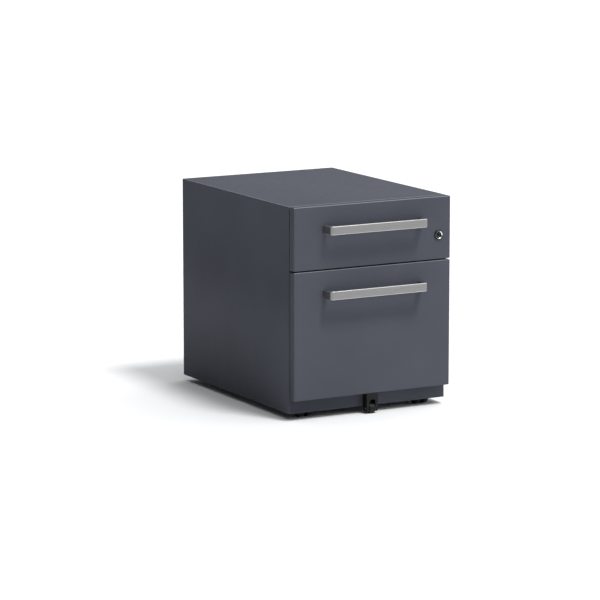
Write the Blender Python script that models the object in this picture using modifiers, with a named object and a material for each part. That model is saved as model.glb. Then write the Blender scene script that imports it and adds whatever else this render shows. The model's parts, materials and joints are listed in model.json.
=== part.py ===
"""Rolling pedestal cabinet: a shallow drawer over a filing drawer, on castors.

Metres, +Z up. The front faces -Y, the floor is Z = 0, and the origin is on the floor under the
middle of the whole outline, handles included. Run it with blender --background --python part.py.
"""
from math import cos, pi, radians, sin, tan

import bmesh
import bpy
from mathutils import Vector

# Driving dimensions
WIDTH = 0.420
BODY_DEPTH = 0.565
HEIGHT = 0.502
FLOOR_CLEARANCE = 0.015
HANDLE_REACH = 0.033
SHEET = 0.001
TOUCH_GAP = 0.0003

# Drawer fronts
FRONT_THICKNESS = 0.020
FRONT_EDGE_ROUNDING = 0.0018
SHADOW_GAP = 0.003
UPPER_FRONT_HEIGHT = 0.1485
LOWER_FRONT_HEIGHT = 0.3015

# Levels from the floor
BASE_BOTTOM = 0.050
UPPER_BOX_BOTTOM = 0.366
UPPER_BOX_TOP = 0.452
LOWER_BOX_BOTTOM = 0.060
LOWER_BOX_TOP = 0.330
UPPER_RUNNER_LEVEL = 0.384
LOWER_RUNNER_LEVEL = 0.180
MID_RAIL_BOTTOM = 0.3445
MID_RAIL_TOP = 0.3615
TOP_RAIL_BOTTOM = 0.480
RAIL_DEPTH = 0.028
PLINTH_FLANGE = 0.012
PLINTH_HEM = 0.004

# Uprights that carry the runners, behind the flush front of the carcass
UPRIGHT_WIDTH = 0.0222
UPRIGHT_DEPTH = 0.038
REAR_UPRIGHT_BACK = 0.260

# Ball-bearing runners
RUNNER_LENGTH = 0.500
RUNNER_WIDTH = 0.0124
RUNNER_HEIGHT = 0.038
RUNNER_SHEET = 0.0012
RUNNER_SETBACK = 0.003
OUTER_LIP = 0.0106
MIDDLE_WEB = 0.0030
MIDDLE_LIP = 0.0091
MIDDLE_DROP = 0.0040
INNER_LIP = 0.0056
INNER_DROP = 0.0080
INNER_SHORTER = 0.010

# Drawer boxes
BOX_HALF_WIDTH = 0.1735
BOX_LENGTH = 0.490

# Rails for hanging files
FILE_RAIL_X = 0.165
FILE_RAIL_HEIGHT = 0.020
FILE_RAIL_ABOVE_BOX = 0.003

# Bow handles
HANDLE_HEIGHT = 0.020
HANDLE_BASE_HALF_WIDTH = 0.134
HANDLE_FRONT_HALF_WIDTH = 0.129
HANDLE_BAR_THICKNESS = 0.009
HANDLE_LEG_THICKNESS = 0.010
HANDLE_OUTER_RADIUS = 0.007
HANDLE_INNER_RADIUS = 0.003
HANDLE_EDGE_ROUNDING = 0.0008
HANDLE_BELOW_FRONT_TOP = 0.055

# Lock
LOCK_X = 0.178
LOCK_Z = 0.411
LOCK_BARREL_RADIUS = 0.0095
LOCK_BEZEL_RADIUS = 0.0118
LOCK_BEZEL_REACH = 0.0030
LOCK_BARREL_END = -0.0165
LOCK_BORE_END = -0.0140
PLUG_RADIUS = 0.0070
PLUG_FACE = -0.0012
PLUG_CHAMFER = 0.0006
KEYWAY_HALF_WIDTH = 0.0007
KEYWAY_HALF_HEIGHT = 0.0040
KEYWAY_END = 0.009
TAIL_RADIUS = 0.0028
TAIL_END = 0.0435
CAM_FACE = 0.040
CAM_THICKNESS = 0.002
CAM_HALF_WIDTH = 0.0040
CAM_REACH = 0.022
CAM_TIP_CORNER = 0.0015
WINDOW_CLEARANCE = 0.0035

# Lock bar beside the runners, and the filing drawer's catch below its tab
BAR_TRAVEL = 0.00785
BAR_TOP = 0.470
BAR_WIDTH = 0.0040
BAR_INSET = 0.0035
BAR_NOTCH_PLAY = 0.0005
BAR_NOTCH_HEADROOM = 0.004
TAB_LOW = 0.300
TAB_HIGH = 0.310
TAB_REACH = 0.0050
CATCH_DROP = 0.0035
CATCH_HEIGHT = 0.016
CATCH_REACH = 0.0085
CATCH_THICKNESS = 0.005
CATCH_SETBACK = 0.005

# Castors
CASTOR_X = 0.158
CASTOR_Y = 0.199
CASTOR_TRAIL = 0.014
CASTOR_WHEEL_RADIUS = 0.020
CASTOR_WHEEL_OFFSET = 0.0101
CASTOR_PLATE_SIZE = 0.038
CASTOR_PLATE_THICKNESS = 0.002
CASTOR_PLATE_CORNER = 0.005
CASTOR_PIN_RADIUS = 0.0025
CASTOR_PIN_BOTTOM = 0.033
CASTOR_WEB_WIDTH = 0.008
CASTOR_AXLE_RADIUS = 0.0018
CASTOR_BORE_PLAY = 0.0004
WHEEL_INNER_FACE = -0.0055
WHEEL_OUTER_FACE = 0.0055
WHEEL_HUB_FACE = 0.0052
WHEEL_DISH = 0.0040
WHEEL_HUB_RADIUS = 0.0060
WHEEL_HUB_FOOT = 0.0070
WHEEL_RIM_DEPTH = 0.0035
FENDER_INNER_RADIUS = 0.0212
FENDER_OUTER_RADIUS = 0.0232
FENDER_WIDTH = 0.0312
FENDER_START = radians(30)
FENDER_END = radians(150)
BEARING_RADIUS = 0.013
BEARING_BOTTOM = 0.0445
BEARING_TOP = 0.0470

# Fifth castor, under the filing drawer's front
FIFTH_WHEEL_RADIUS = 0.012
FIFTH_BLOCK_HALF_WIDTH = 0.015
FIFTH_BLOCK_DEPTH = 0.019
FIFTH_SLOT_HALF_WIDTH = 0.008
FIFTH_SLOT_TOP = 0.0335
FIFTH_FOOT = 0.004
FIFTH_AXLE_RADIUS = 0.0025
FIFTH_TOE_RADIUS = 0.006
FIFTH_WHEEL_CLEARANCE = 0.0007
FIFTH_WHEEL_SHOULDER = 0.0012

# Places worked out from the sizes above
BACK = (BODY_DEPTH + HANDLE_REACH) / 2
FRONT_FACE = BACK - BODY_DEPTH
FRONT_BACK = FRONT_FACE + FRONT_THICKNESS
CARCASS_FRONT = FRONT_BACK + SHADOW_GAP
HALF_WIDTH = WIDTH / 2
INNER_HALF_WIDTH = HALF_WIDTH - SHEET
PANEL_HALF_WIDTH = INNER_HALF_WIDTH - TOUCH_GAP
TOP_BOTTOM = HEIGHT - SHEET
UPPER_FRONT_BOTTOM = HEIGHT - UPPER_FRONT_HEIGHT
LOWER_FRONT_TOP = UPPER_FRONT_BOTTOM - SHADOW_GAP
LOWER_FRONT_BOTTOM = LOWER_FRONT_TOP - LOWER_FRONT_HEIGHT
BASE_TOP = BASE_BOTTOM + SHEET
UPRIGHT_FACE = PANEL_HALF_WIDTH - UPRIGHT_WIDTH
RUNNER_FRONT = CARCASS_FRONT + RUNNER_SETBACK
BOX_FRONT = FRONT_BACK + TOUCH_GAP
CAM_PLANE = FRONT_FACE + CAM_FACE + CAM_THICKNESS / 2

# Which way a section drawn in local XY runs: along the world axis named
ALONG_Z = (0.0, 0.0, 0.0)
ALONG_Y = (pi / 2, 0.0, 0.0)
ALONG_X = (pi / 2, 0.0, pi / 2)
TURNED_ABOUT_X = (0.0, pi / 2, 0.0)

WHEEL_STEPS = 24
LOCK_STEPS = 32
ARC_STEP = radians(18)
MERGE_DISTANCE = 0.00001
SHARP_ANGLE = radians(40)


def clear_scene():
    """Remove every object of the open scene."""
    for item in list(bpy.data.objects):
        bpy.data.objects.remove(item, do_unlink=True)


def new_collection(name):
    """Make a collection under the scene."""
    collection = bpy.data.collections.new(name)
    bpy.context.scene.collection.children.link(collection)
    return collection


def new_material(name, colour, metallic, roughness):
    """Make a Principled material with one colour."""
    material = bpy.data.materials.new(name)
    material.use_nodes = True
    shader = material.node_tree.nodes["Principled BSDF"]
    shader.inputs["Base Color"].default_value = (*colour, 1.0)
    shader.inputs["Metallic"].default_value = metallic
    shader.inputs["Roughness"].default_value = roughness
    material.diffuse_color = (*colour, 1.0)
    return material


clear_scene()
PARTS = new_collection("rolling_pedestal_cabinet")
CUTTERS = new_collection("cutters")

PAINT = new_material("slate_paint", (0.085, 0.090, 0.110), 0.0, 0.45)
BOX_PAINT = new_material("drawer_box_paint", (0.070, 0.074, 0.090), 0.0, 0.50)
ZINC = new_material("zinc_plated_steel", (0.62, 0.62, 0.60), 1.0, 0.38)
NICKEL = new_material("satin_nickel", (0.60, 0.59, 0.57), 1.0, 0.32)
CHROME = new_material("polished_chrome", (0.80, 0.80, 0.80), 1.0, 0.10)
BLACK_PLASTIC = new_material("black_plastic", (0.015, 0.015, 0.016), 0.0, 0.50)
WHEEL_PLASTIC = new_material("wheel_plastic", (0.030, 0.030, 0.032), 0.0, 0.55)


def world_place(item):
    """World location of an object whose parents have no rotation."""
    place = Vector(item.location)
    while item.parent:
        item = item.parent
        place += item.location
    return place


def attach(item, location, parent):
    """Put an object at a world location, under its pivot."""
    item.location = Vector(location)
    if parent:
        item.location -= world_place(parent)
        item.parent = parent


def pivot(name, location, parent=None):
    """An empty that marks where a moving body turns or slides."""
    empty = bpy.data.objects.new(name, None)
    empty.empty_display_size = 0.03
    PARTS.objects.link(empty)
    attach(empty, location, parent)
    return empty


def add_piece(name, data, finish, location, parent=None, rotation=ALONG_Z):
    """Add one sub-part with its own material."""
    piece = bpy.data.objects.new(name, data)
    PARTS.objects.link(piece)
    piece.rotation_euler = rotation
    if not data.materials:
        data.materials.append(finish)
    attach(piece, location, parent)
    return piece


def as_cutter(piece):
    """Keep a shape only for cutting or joining others."""
    PARTS.objects.unlink(piece)
    CUTTERS.objects.link(piece)
    piece.hide_render = True
    piece.display_type = "WIRE"
    return piece


def combine(piece, tool, operation):
    """Cut a piece with a tool, or join the tool to it."""
    modifier = piece.modifiers.new(operation.lower(), "BOOLEAN")
    modifier.operation = operation
    modifier.solver = "EXACT"
    modifier.object = as_cutter(tool)


def round_edges(piece, width, segments=2):
    """Round every sharp edge of a piece."""
    modifier = piece.modifiers.new("rounding", "BEVEL")
    modifier.width = width
    modifier.segments = segments
    modifier.limit_method = "ANGLE"
    modifier.angle_limit = SHARP_ANGLE


def thicken(piece, thickness):
    """Give an open surface its sheet thickness, half on each side."""
    modifier = piece.modifiers.new("sheet", "SOLIDIFY")
    modifier.thickness = thickness
    modifier.offset = 0.0
    modifier.use_even_offset = True


def cube_mesh(name, size):
    """A box mesh of a given size about its own centre."""
    mesh = bpy.data.meshes.new(name)
    shape = bmesh.new()
    bmesh.ops.create_cube(shape, size=1.0)
    bmesh.ops.scale(shape, vec=size, verts=shape.verts)
    shape.to_mesh(mesh)
    shape.free()
    return mesh


def box(name, low, high, finish, parent=None):
    """A plain box between two corners."""
    low = Vector(low)
    high = Vector(high)
    return add_piece(name, cube_mesh(name, high - low), finish, (low + high) / 2, parent)


def open_box(name, low, high, open_side, finish, parent=None, rounding=0.0):
    """A sheet-metal box without the face that looks along open_side."""
    inset = Vector((SHEET, SHEET, SHEET)) / 2
    low = Vector(low) + inset
    high = Vector(high) - inset
    direction = Vector(open_side)
    for axis in range(3):
        if direction[axis] > 0:
            high[axis] += inset[axis]
    mesh = cube_mesh(name, high - low)
    shape = bmesh.new()
    shape.from_mesh(mesh)
    shape.normal_update()
    missing = [face for face in shape.faces if face.normal.dot(direction) > 0.9]
    bmesh.ops.delete(shape, geom=missing, context="FACES")
    shape.to_mesh(mesh)
    shape.free()
    piece = add_piece(name, mesh, finish, (low + high) / 2, parent)
    if rounding:
        round_edges(piece, rounding)
    thicken(piece, SHEET)
    return piece


def folded_strip(name, section, length, finish, location, parent=None, rotation=ALONG_Z, thickness=SHEET):
    """A folded sheet: the middle line of its section, run along a length from the location."""
    mesh = bpy.data.meshes.new(name)
    shape = bmesh.new()
    corners = [shape.verts.new((x, y, 0.0)) for x, y in section]
    edges = [shape.edges.new(pair) for pair in zip(corners, corners[1:])]
    grown = bmesh.ops.extrude_edge_only(shape, edges=edges)["geom"]
    moved = [item for item in grown if isinstance(item, bmesh.types.BMVert)]
    bmesh.ops.translate(shape, vec=(0.0, 0.0, length), verts=moved)
    bmesh.ops.recalc_face_normals(shape, faces=shape.faces)
    shape.to_mesh(mesh)
    shape.free()
    piece = add_piece(name, mesh, finish, location, parent, rotation)
    thicken(piece, thickness)
    return piece


def arc(centre, radius, start, end):
    """Points on an arc, ends included, with angles in radians."""
    count = max(2, round(abs(end - start) / ARC_STEP))
    angles = [start + (end - start) * step / count for step in range(count + 1)]
    return [(centre[0] + radius * cos(angle), centre[1] + radius * sin(angle)) for angle in angles]


def rounded_outline(corners):
    """Points of a closed outline whose corners are (x, y, radius)."""
    points = []
    count = len(corners)
    for index, (x, y, radius) in enumerate(corners):
        corner = Vector((x, y))
        before = (Vector(corners[index - 1][:2]) - corner).normalized()
        after = (Vector(corners[(index + 1) % count][:2]) - corner).normalized()
        if radius == 0.0:
            points.append(corner)
            continue
        half_angle = before.angle(after) / 2
        reach = radius / tan(half_angle)
        start = corner + before * reach
        centre = corner + (before + after).normalized() * radius / sin(half_angle)
        spoke = start - centre
        turn = -before.angle_signed(after)
        sweep = (pi - abs(turn)) * (-1 if turn > 0 else 1)
        steps = max(2, round(abs(sweep) / ARC_STEP))
        for step in range(steps + 1):
            angle = sweep * step / steps
            points.append(centre + Vector((spoke.x * cos(angle) - spoke.y * sin(angle),
                                           spoke.x * sin(angle) + spoke.y * cos(angle))))
    return points


def outline_plate(name, points, thickness, finish, location, parent=None, rotation=ALONG_Z):
    """A flat outline made solid: a filled curve turned into a mesh, centred on the location."""
    curve = bpy.data.curves.new(name, "CURVE")
    curve.dimensions = "2D"
    curve.fill_mode = "BOTH"
    curve.extrude = thickness / 2
    spline = curve.splines.new("POLY")
    spline.points.add(len(points) - 1)
    for point, (x, y) in zip(spline.points, points):
        point.co = (x, y, 0.0, 1.0)
    spline.use_cyclic_u = True
    drawn = bpy.data.objects.new(name + "_outline", curve)
    PARTS.objects.link(drawn)
    depsgraph = bpy.context.evaluated_depsgraph_get()
    mesh = bpy.data.meshes.new_from_object(drawn.evaluated_get(depsgraph))
    mesh.name = name
    bpy.data.objects.remove(drawn, do_unlink=True)
    shape = bmesh.new()
    shape.from_mesh(mesh)
    bmesh.ops.remove_doubles(shape, verts=shape.verts, dist=MERGE_DISTANCE)
    bmesh.ops.recalc_face_normals(shape, faces=shape.faces)
    shape.to_mesh(mesh)
    shape.free()
    return add_piece(name, mesh, finish, location, parent, rotation)


def turned_mesh(name, profile, closed):
    """A profile of (radius, height) points, as edges at +X."""
    mesh = bpy.data.meshes.new(name)
    shape = bmesh.new()
    corners = [shape.verts.new((radius, 0.0, height)) for radius, height in profile]
    for pair in zip(corners, corners[1:]):
        shape.edges.new(pair)
    if closed:
        shape.edges.new((corners[-1], corners[0]))
    shape.to_mesh(mesh)
    shape.free()
    return mesh


def turned(name, profile, finish, location, parent=None, rotation=ALONG_Z, steps=WHEEL_STEPS):
    """A round piece: its profile turned about its own Z axis."""
    closed = profile[0][0] > 0.0
    piece = add_piece(name, turned_mesh(name, profile, closed), finish, location, parent, rotation)
    modifier = piece.modifiers.new("turning", "SCREW")
    modifier.steps = steps
    modifier.render_steps = steps
    modifier.use_merge_vertices = True
    modifier.merge_threshold = MERGE_DISTANCE
    modifier.use_smooth_shade = True
    return piece


def rod(name, radius, length, finish, location, parent=None, rotation=ALONG_Z, steps=WHEEL_STEPS):
    """A plain round rod about its own Z axis, centred on the location."""
    half = length / 2
    profile = [(0.0, half), (radius, half), (radius, -half), (0.0, -half)]
    return turned(name, profile, finish, location, parent, rotation, steps)


def make_panels():
    """Side, top, back and base sheets and the plinth."""
    for side, sign in (("left", -1), ("right", 1)):
        inner = sign * INNER_HALF_WIDTH
        outer = sign * HALF_WIDTH
        low = (min(inner, outer), CARCASS_FRONT, FLOOR_CLEARANCE)
        high = (max(inner, outer), BACK, TOP_BOTTOM - TOUCH_GAP)
        box("side_panel_" + side, low, high, PAINT)
    box("top_panel", (-HALF_WIDTH, CARCASS_FRONT, TOP_BOTTOM), (HALF_WIDTH, BACK, HEIGHT), PAINT)
    box("back_panel", (-PANEL_HALF_WIDTH, BACK - SHEET, FLOOR_CLEARANCE),
        (PANEL_HALF_WIDTH, BACK, TOP_BOTTOM - TOUCH_GAP), PAINT)
    box("base_plate", (-PANEL_HALF_WIDTH, CARCASS_FRONT + SHEET + TOUCH_GAP, BASE_BOTTOM),
        (PANEL_HALF_WIDTH, BACK - SHEET - TOUCH_GAP, BASE_TOP), PAINT)
    face = CARCASS_FRONT + SHEET / 2
    bottom = FLOOR_CLEARANCE + SHEET / 2
    top = BASE_BOTTOM - TOUCH_GAP - SHEET / 2
    section = [(face + PLINTH_HEM, bottom), (face, bottom), (face, top), (face + PLINTH_FLANGE, top)]
    folded_strip("plinth_panel", section, 2 * PANEL_HALF_WIDTH, PAINT,
                 (-PANEL_HALF_WIDTH, 0.0, 0.0), rotation=ALONG_X)


def make_rails():
    """Folded cross rails between the front uprights."""
    half_length = UPRIGHT_FACE - TOUCH_GAP
    face = CARCASS_FRONT + SHEET / 2
    levels = {"top_front_rail": (TOP_RAIL_BOTTOM, TOP_BOTTOM - TOUCH_GAP),
              "mid_front_rail": (MID_RAIL_BOTTOM, MID_RAIL_TOP)}
    for name, (bottom, top) in levels.items():
        low = bottom + SHEET / 2
        high = top - SHEET / 2
        back = face + RAIL_DEPTH
        section = [(back, low), (face, low), (face, high), (back, high)]
        folded_strip(name, section, 2 * half_length, PAINT, (-half_length, 0.0, 0.0), rotation=ALONG_X)


def make_uprights():
    """Folded channels, open towards the side panels, that the runners screw onto."""
    bottom = BASE_TOP + TOUCH_GAP
    length = TOP_BOTTOM - TOUCH_GAP - bottom
    web = UPRIGHT_FACE + SHEET / 2
    for place, front in (("front", CARCASS_FRONT), ("rear", REAR_UPRIGHT_BACK - UPRIGHT_DEPTH)):
        near = front + SHEET / 2
        far = front + UPRIGHT_DEPTH - SHEET / 2
        for side, sign in (("left", -1), ("right", 1)):
            section = [(sign * PANEL_HALF_WIDTH, near), (sign * web, near),
                       (sign * web, far), (sign * PANEL_HALF_WIDTH, far)]
            name = "upright_" + place + "_" + side
            upright = folded_strip(name, section, length, PAINT, (0.0, 0.0, bottom))
            if name == "upright_front_right":
                cut_lock_windows(upright)


def cut_lock_windows(upright):
    """Windows in the web for the lock's cam and for the lock bar's tab."""
    cam_low = LOCK_Z - CAM_HALF_WIDTH - WINDOW_CLEARANCE
    cam_high = LOCK_Z + CAM_REACH + WINDOW_CLEARANCE
    spans = {"cam": (cam_low, cam_high),
             "tab": (TAB_LOW - BAR_TRAVEL - WINDOW_CLEARANCE, TAB_HIGH + WINDOW_CLEARANCE)}
    half_depth = CAM_THICKNESS / 2 + WINDOW_CLEARANCE
    for name, (low, high) in spans.items():
        window = box("window_for_" + name, (UPRIGHT_FACE - SHEET, CAM_PLANE - half_depth, low),
                     (UPRIGHT_FACE + 2 * SHEET, CAM_PLANE + half_depth, high), PAINT)
        combine(upright, window, "DIFFERENCE")


def make_runner(drawer, level, drawer_pivot, middle_pivot):
    """Three nested members on each side of a drawer."""
    length = RUNNER_LENGTH
    half = RUNNER_HEIGHT / 2
    outer_web = UPRIGHT_FACE - TOUCH_GAP - RUNNER_SHEET / 2
    inner_web = BOX_HALF_WIDTH + TOUCH_GAP + RUNNER_SHEET / 2
    members = {
        "outer": (outer_web, outer_web - OUTER_LIP, half - RUNNER_SHEET / 2, length, None),
        "middle": (outer_web - MIDDLE_WEB, outer_web - MIDDLE_LIP, half - MIDDLE_DROP, length, middle_pivot),
        "inner": (inner_web, inner_web + INNER_LIP, half - INNER_DROP, length - INNER_SHORTER, drawer_pivot),
    }
    for side, sign in (("left", -1), ("right", 1)):
        for member, (web, lip, height, run, parent) in members.items():
            section = [(sign * lip, -height), (sign * web, -height),
                       (sign * web, height), (sign * lip, height)]
            name = drawer + "_runner_" + member + "_" + side
            place = (0.0, RUNNER_FRONT + run, level)
            folded_strip(name, section, run, ZINC, place, parent, ALONG_Y, RUNNER_SHEET)


def make_front(drawer, bottom, top, parent):
    """A folded front pan and the flat sheet that backs it."""
    pan = open_box(drawer + "_front_panel", (-HALF_WIDTH, FRONT_FACE, bottom),
                   (HALF_WIDTH, FRONT_BACK, top), (0, 1, 0), PAINT, parent, FRONT_EDGE_ROUNDING)
    inset = FRONT_EDGE_ROUNDING
    backing = box(drawer + "_front_backing",
                  (-HALF_WIDTH + inset, FRONT_BACK - SHEET / 2 - SHEET, bottom + inset),
                  (HALF_WIDTH - inset, FRONT_BACK - SHEET / 2, top - inset), BOX_PAINT, parent)
    return pan, backing


def make_box(drawer, bottom, top, parent):
    """A drawer box, open at the top."""
    return open_box(drawer + "_drawer_box", (-BOX_HALF_WIDTH, BOX_FRONT, bottom),
                    (BOX_HALF_WIDTH, BOX_FRONT + BOX_LENGTH, top), (0, 0, 1), BOX_PAINT, parent)


def make_handle(drawer, front_top, parent):
    """A bow handle: a flat bar with two slightly splayed legs."""
    bar_back = -HANDLE_REACH + HANDLE_BAR_THICKNESS
    foot = -TOUCH_GAP
    inner_foot = HANDLE_BASE_HALF_WIDTH - HANDLE_LEG_THICKNESS
    inner_front = HANDLE_FRONT_HALF_WIDTH - HANDLE_LEG_THICKNESS
    corners = [(-HANDLE_BASE_HALF_WIDTH, foot, 0.0),
               (-HANDLE_FRONT_HALF_WIDTH, -HANDLE_REACH, HANDLE_OUTER_RADIUS),
               (HANDLE_FRONT_HALF_WIDTH, -HANDLE_REACH, HANDLE_OUTER_RADIUS),
               (HANDLE_BASE_HALF_WIDTH, foot, 0.0),
               (inner_foot, foot, 0.0),
               (inner_front, bar_back, HANDLE_INNER_RADIUS),
               (-inner_front, bar_back, HANDLE_INNER_RADIUS),
               (-inner_foot, foot, 0.0)]
    place = (0.0, FRONT_FACE, front_top - HANDLE_BELOW_FRONT_TOP)
    handle = outline_plate(drawer + "_handle", rounded_outline(corners), HANDLE_HEIGHT, NICKEL, place, parent)
    round_edges(handle, HANDLE_EDGE_ROUNDING, 1)


def make_lock(pan, backing, drawer_pivot, lock_pivot):
    """Cylinder lock in the shallow drawer's front, with its plug, keyway and cam."""
    place = (LOCK_X, FRONT_FACE, LOCK_Z)
    bore_radius = PLUG_RADIUS + TOUCH_GAP
    tail_bore = TAIL_RADIUS + TOUCH_GAP
    body = [(LOCK_BARREL_RADIUS, LOCK_BEZEL_REACH), (LOCK_BEZEL_RADIUS, LOCK_BEZEL_REACH * 2 / 3),
            (LOCK_BEZEL_RADIUS, TOUCH_GAP), (LOCK_BARREL_RADIUS, TOUCH_GAP),
            (LOCK_BARREL_RADIUS, LOCK_BARREL_END), (tail_bore, LOCK_BARREL_END), (tail_bore, LOCK_BORE_END),
            (bore_radius, LOCK_BORE_END), (bore_radius, LOCK_BEZEL_REACH)]
    turned("lock_body", body, CHROME, place, drawer_pivot, ALONG_Y, LOCK_STEPS)

    plug_end = LOCK_BORE_END + TOUCH_GAP
    plug = [(0.0, PLUG_FACE), (PLUG_RADIUS - PLUG_CHAMFER, PLUG_FACE),
            (PLUG_RADIUS, PLUG_FACE - PLUG_CHAMFER), (PLUG_RADIUS, plug_end), (TAIL_RADIUS, plug_end),
            (TAIL_RADIUS, -TAIL_END), (0.0, -TAIL_END)]
    lock_plug = turned("lock_plug", plug, CHROME, place, lock_pivot, ALONG_Y, LOCK_STEPS)
    keyway = box("keyway", (LOCK_X - KEYWAY_HALF_WIDTH, FRONT_FACE, LOCK_Z - KEYWAY_HALF_HEIGHT),
                 (LOCK_X + KEYWAY_HALF_WIDTH, FRONT_FACE + KEYWAY_END, LOCK_Z + KEYWAY_HALF_HEIGHT), CHROME)
    combine(lock_plug, keyway, "DIFFERENCE")

    low_end = arc((0.0, 0.0), CAM_HALF_WIDTH, pi, 2 * pi)
    shoulder = CAM_REACH - CAM_TIP_CORNER
    tip = CAM_HALF_WIDTH - CAM_TIP_CORNER
    high_end = [(CAM_HALF_WIDTH, shoulder), (tip, CAM_REACH), (-tip, CAM_REACH), (-CAM_HALF_WIDTH, shoulder)]
    cam = outline_plate("lock_cam", low_end + high_end, CAM_THICKNESS, ZINC,
                        (LOCK_X, CAM_PLANE, LOCK_Z), lock_pivot, ALONG_Y)
    hole = rod("cam_hole", tail_bore, 4 * CAM_THICKNESS, ZINC, (LOCK_X, CAM_PLANE, LOCK_Z), None,
               ALONG_Y)
    combine(cam, hole, "DIFFERENCE")

    barrel_hole = rod("barrel_hole", LOCK_BARREL_RADIUS + TOUCH_GAP, 4 * SHEET, PAINT,
                      (LOCK_X, FRONT_FACE, LOCK_Z), None, ALONG_Y, LOCK_STEPS)
    combine(pan, barrel_hole, "DIFFERENCE")
    tail_hole = rod("tail_hole", TAIL_RADIUS + 2 * SHEET, 6 * SHEET, PAINT,
                    (LOCK_X, FRONT_BACK - SHEET, LOCK_Z), None, ALONG_Y)
    combine(backing, tail_hole, "DIFFERENCE")


def make_lock_bar(bar_pivot, drawer_pivot):
    """The bar inside the right front upright, and the filing drawer's catch below its tab."""
    notch_low = LOCK_Z - CAM_HALF_WIDTH - BAR_NOTCH_PLAY + BAR_TRAVEL
    notch_high = LOCK_Z + CAM_REACH + BAR_NOTCH_HEADROOM
    inner = UPRIGHT_FACE + BAR_INSET
    spine = LOCK_X + CAM_REACH + SHEET
    outer = spine + BAR_WIDTH
    tab_tip = BOX_HALF_WIDTH + TAB_REACH
    outline = [(tab_tip, TAB_LOW), (outer, TAB_LOW), (outer, BAR_TOP), (inner, BAR_TOP), (inner, notch_high),
               (spine, notch_high), (spine, notch_low), (inner, notch_low), (inner, TAB_HIGH),
               (tab_tip, TAB_HIGH)]
    outline_plate("lock_bar", outline, CAM_THICKNESS, ZINC, (0.0, CAM_PLANE, 0.0), bar_pivot, ALONG_Y)
    catch_top = TAB_LOW - CATCH_DROP
    catch_front = CAM_PLANE + CATCH_SETBACK
    box("lower_drawer_catch", (BOX_HALF_WIDTH + TOUCH_GAP, catch_front, catch_top - CATCH_HEIGHT),
        (BOX_HALF_WIDTH + CATCH_REACH, catch_front + CATCH_THICKNESS, catch_top), ZINC, drawer_pivot)


def make_file_rails(parent):
    """Rails for hanging files, along both sides of the filing drawer."""
    top = LOWER_BOX_TOP + FILE_RAIL_ABOVE_BOX
    start = BOX_FRONT + SHEET + TOUCH_GAP
    end = BOX_FRONT + BOX_LENGTH - SHEET - TOUCH_GAP
    for side, sign in (("left", -1), ("right", 1)):
        centre = sign * FILE_RAIL_X
        box("file_rail_" + side, (centre - SHEET, start, top - FILE_RAIL_HEIGHT),
            (centre + SHEET, end, top), ZINC, parent)


def make_fifth_castor(drawer_pivot, wheel_pivot):
    """The small wheel that stops the cabinet tipping when the filing drawer is out."""
    axle_place = world_place(wheel_pivot)
    half_depth = FIFTH_BLOCK_DEPTH / 2
    top = LOWER_FRONT_BOTTOM - TOUCH_GAP
    corners = [(-half_depth, FIFTH_FOOT, FIFTH_TOE_RADIUS), (half_depth, FIFTH_FOOT, FIFTH_TOE_RADIUS),
               (half_depth, top, 0.0), (-half_depth, top, 0.0)]
    block = outline_plate("fifth_castor_block", rounded_outline(corners), 2 * FIFTH_BLOCK_HALF_WIDTH,
                          BLACK_PLASTIC, (0.0, axle_place.y, 0.0), drawer_pivot, ALONG_X)
    slot = box("fifth_slot", (-FIFTH_SLOT_HALF_WIDTH, axle_place.y - 2 * half_depth, -FIFTH_FOOT),
               (FIFTH_SLOT_HALF_WIDTH, axle_place.y + 2 * half_depth, FIFTH_SLOT_TOP), BLACK_PLASTIC)
    combine(block, slot, "DIFFERENCE")
    axle_hole = rod("fifth_axle_hole", FIFTH_AXLE_RADIUS + TOUCH_GAP, 4 * FIFTH_BLOCK_HALF_WIDTH,
                    BLACK_PLASTIC, axle_place, None, TURNED_ABOUT_X)
    combine(block, axle_hole, "DIFFERENCE")
    rod("fifth_castor_axle", FIFTH_AXLE_RADIUS, 2 * FIFTH_BLOCK_HALF_WIDTH - SHEET, ZINC,
        axle_place, drawer_pivot, TURNED_ABOUT_X)
    half = FIFTH_SLOT_HALF_WIDTH - FIFTH_WHEEL_CLEARANCE
    bore = FIFTH_AXLE_RADIUS + 2 * TOUCH_GAP
    shoulder = FIFTH_WHEEL_RADIUS - FIFTH_WHEEL_SHOULDER
    edge = half - FIFTH_WHEEL_SHOULDER
    profile = [(shoulder, half), (FIFTH_WHEEL_RADIUS, edge), (FIFTH_WHEEL_RADIUS, -edge), (shoulder, -half),
               (bore, -half), (bore, half)]
    turned("fifth_castor_wheel", profile, WHEEL_PLASTIC, axle_place, wheel_pivot, TURNED_ABOUT_X)


def castor_wheel_profile():
    """Half section of a castor wheel: crowned tread, recessed outer face and hub."""
    radius = CASTOR_WHEEL_RADIUS
    bore = CASTOR_AXLE_RADIUS + CASTOR_BORE_PLAY
    crown = [(radius - 0.0025, WHEEL_OUTER_FACE), (radius - 0.0007, 0.0048), (radius, 0.0030),
             (radius, -0.0045), (radius - 0.0010, WHEEL_INNER_FACE)]
    return crown + [(bore, WHEEL_INNER_FACE), (bore, WHEEL_HUB_FACE), (WHEEL_HUB_RADIUS, WHEEL_HUB_FACE),
                    (WHEEL_HUB_FOOT, WHEEL_DISH), (radius - WHEEL_RIM_DEPTH, WHEEL_DISH)]


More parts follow.
